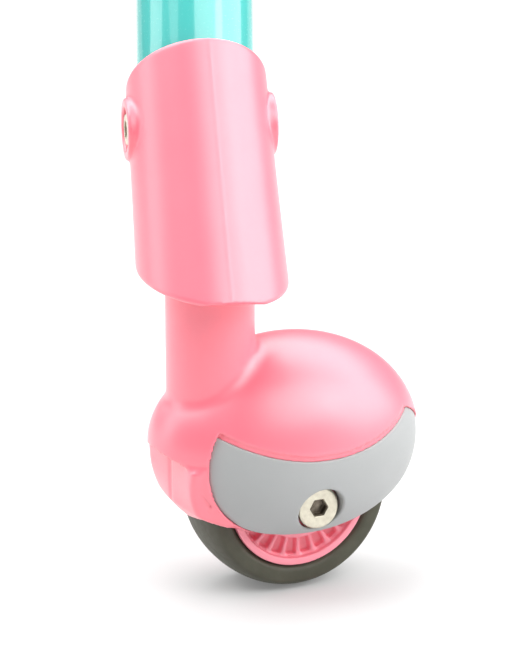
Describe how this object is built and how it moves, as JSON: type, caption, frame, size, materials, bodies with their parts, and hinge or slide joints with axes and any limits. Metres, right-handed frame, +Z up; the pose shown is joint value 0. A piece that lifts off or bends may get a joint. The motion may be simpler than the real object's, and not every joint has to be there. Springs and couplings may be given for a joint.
{
  "type": "kick scooter wheel leg",
  "caption": "Leaning tubular scooter leg with a moulded ankle sleeve, a free-swivelling domed wheel housing with side covers, and a small trailing ball-bearing wheel.",
  "frame": {"origin": "centre of the leg tube's open upper end", "axes": "+Z up, +X the way the wheel trails behind the vertical swivel axis at rest, Y along the wheel axle with the left side at -Y"},
  "size_m": [0.0883, 0.0916, 0.2028],
  "materials": {
    "teal_paint": "gloss powder coat",
    "pink_plastic": "satin with a fine moulded grain",
    "hub_plastic": "satin",
    "grey_plastic": "satin",
    "core_nylon": "dull glass-filled nylon",
    "bush_acetal": "smooth",
    "bolt_steel": "nickel plated, turned",
    "pin_steel": "ground steel",
    "spring_steel": "dark phosphated",
    "bearing_steel": "polished",
    "shield_steel": "pressed sheet",
    "cage_nylon": "smooth",
    "spacer_aluminium": "turned",
    "tyre_polyurethane": "matte"
  },
  "bodies": {
    "leg": {"leg_tube": "teal_paint", "ankle_sleeve": "pink_plastic", "ankle_core": "core_nylon", "lower_pivot_bush": "bush_acetal", "upper_pivot_bush": "bush_acetal", "cross_bolt": "bolt_steel", "cross_barrel_nut": "bolt_steel"},
    "caster": {"wheel_housing": "pink_plastic", "kingpin": "pin_steel", "thrust_washer": "pin_steel", "kingpin_washer": "pin_steel", "kingpin_circlip": "spring_steel", "left_side_cover": "grey_plastic", "right_side_cover": "grey_plastic", "axle_screw": "bolt_steel", "axle_barrel": "bolt_steel", "centre_spacer": "spacer_aluminium", "left_axle_spacer": "spacer_aluminium", "right_axle_spacer": "spacer_aluminium", "left_bearing_inner_ring": "bearing_steel", "right_bearing_inner_ring": "bearing_steel"},
    "wheel": {"tyre": "tyre_polyurethane", "wheel_hub": "hub_plastic", "left_bearing_outer_ring": "bearing_steel", "right_bearing_outer_ring": "bearing_steel", "left_bearing_shields": "shield_steel", "right_bearing_shields": "shield_steel"},
    "ball_sets": {"left_bearing_balls": "bearing_steel", "right_bearing_balls": "bearing_steel", "left_bearing_cage": "cage_nylon", "right_bearing_cage": "cage_nylon"}
  },
  "joints": [
    {"name": "swivel", "type": "hinge", "parent": "leg", "child": "caster", "pos_m": [-0.01601, -0.04665, -0.0843], "axis": [0, 0, 1], "continuous": true},
    {"name": "wheel_spin", "type": "hinge", "parent": "caster", "child": "wheel", "pos_m": [0.00744, -0.04665, -0.1643], "axis": [0, 1, 0], "continuous": true},
    {"name": "ball_spin", "type": "hinge", "parent": "caster", "child": "ball_sets", "pos_m": [0.00744, -0.04665, -0.1643], "axis": [0, 1, 0], "continuous": true}
  ],
  "couplings": [
    {"joint": "ball_spin", "follows": "wheel_spin", "ratio": 0.632}
  ]
}
